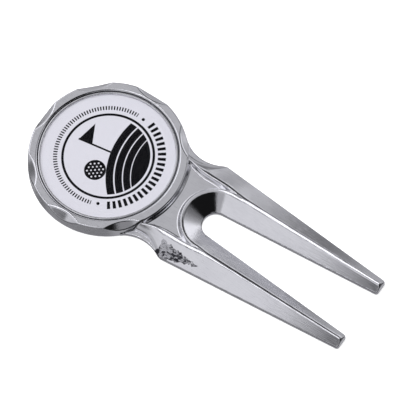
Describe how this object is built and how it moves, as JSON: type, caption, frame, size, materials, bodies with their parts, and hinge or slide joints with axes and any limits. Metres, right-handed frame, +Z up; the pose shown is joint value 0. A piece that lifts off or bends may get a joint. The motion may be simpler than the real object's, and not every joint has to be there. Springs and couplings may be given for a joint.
{
  "type": "divot repair tool",
  "caption": "Chrome-plated two-prong divot repair tool with a fluted round head and a magnetic ball marker that lifts out of its seat.",
  "frame": {"origin": "middle of the overall length, on the centre line of the flat back", "axes": "+X from the head to the prong tips, +Y across the tool, +Z up out of the face that carries the ball marker"},
  "size_m": [0.0686, 0.029, 0.0032],
  "materials": {
    "plated_zinc": "polished chrome plating on die-cast zinc",
    "magnet_plating": "nickel-plated neodymium",
    "epoxy_adhesive": "cured amber epoxy",
    "marker_steel": "polished nickel-plated steel",
    "printed_film": "pale printed film with black artwork",
    "clear_resin": "clear domed resin, gloss"
  },
  "bodies": {
    "fork": {"fork_body": "plated_zinc", "magnet": "magnet_plating", "magnet_adhesive": "epoxy_adhesive"},
    "marker": {"marker_disc": "marker_steel", "marker_print": "printed_film", "marker_dome": "clear_resin"}
  },
  "joints": [
    {"name": "marker_lift", "type": "slide", "parent": "fork", "child": "marker", "axis": [0, 0, 1], "range_m": [0, 0.015]}
  ]
}
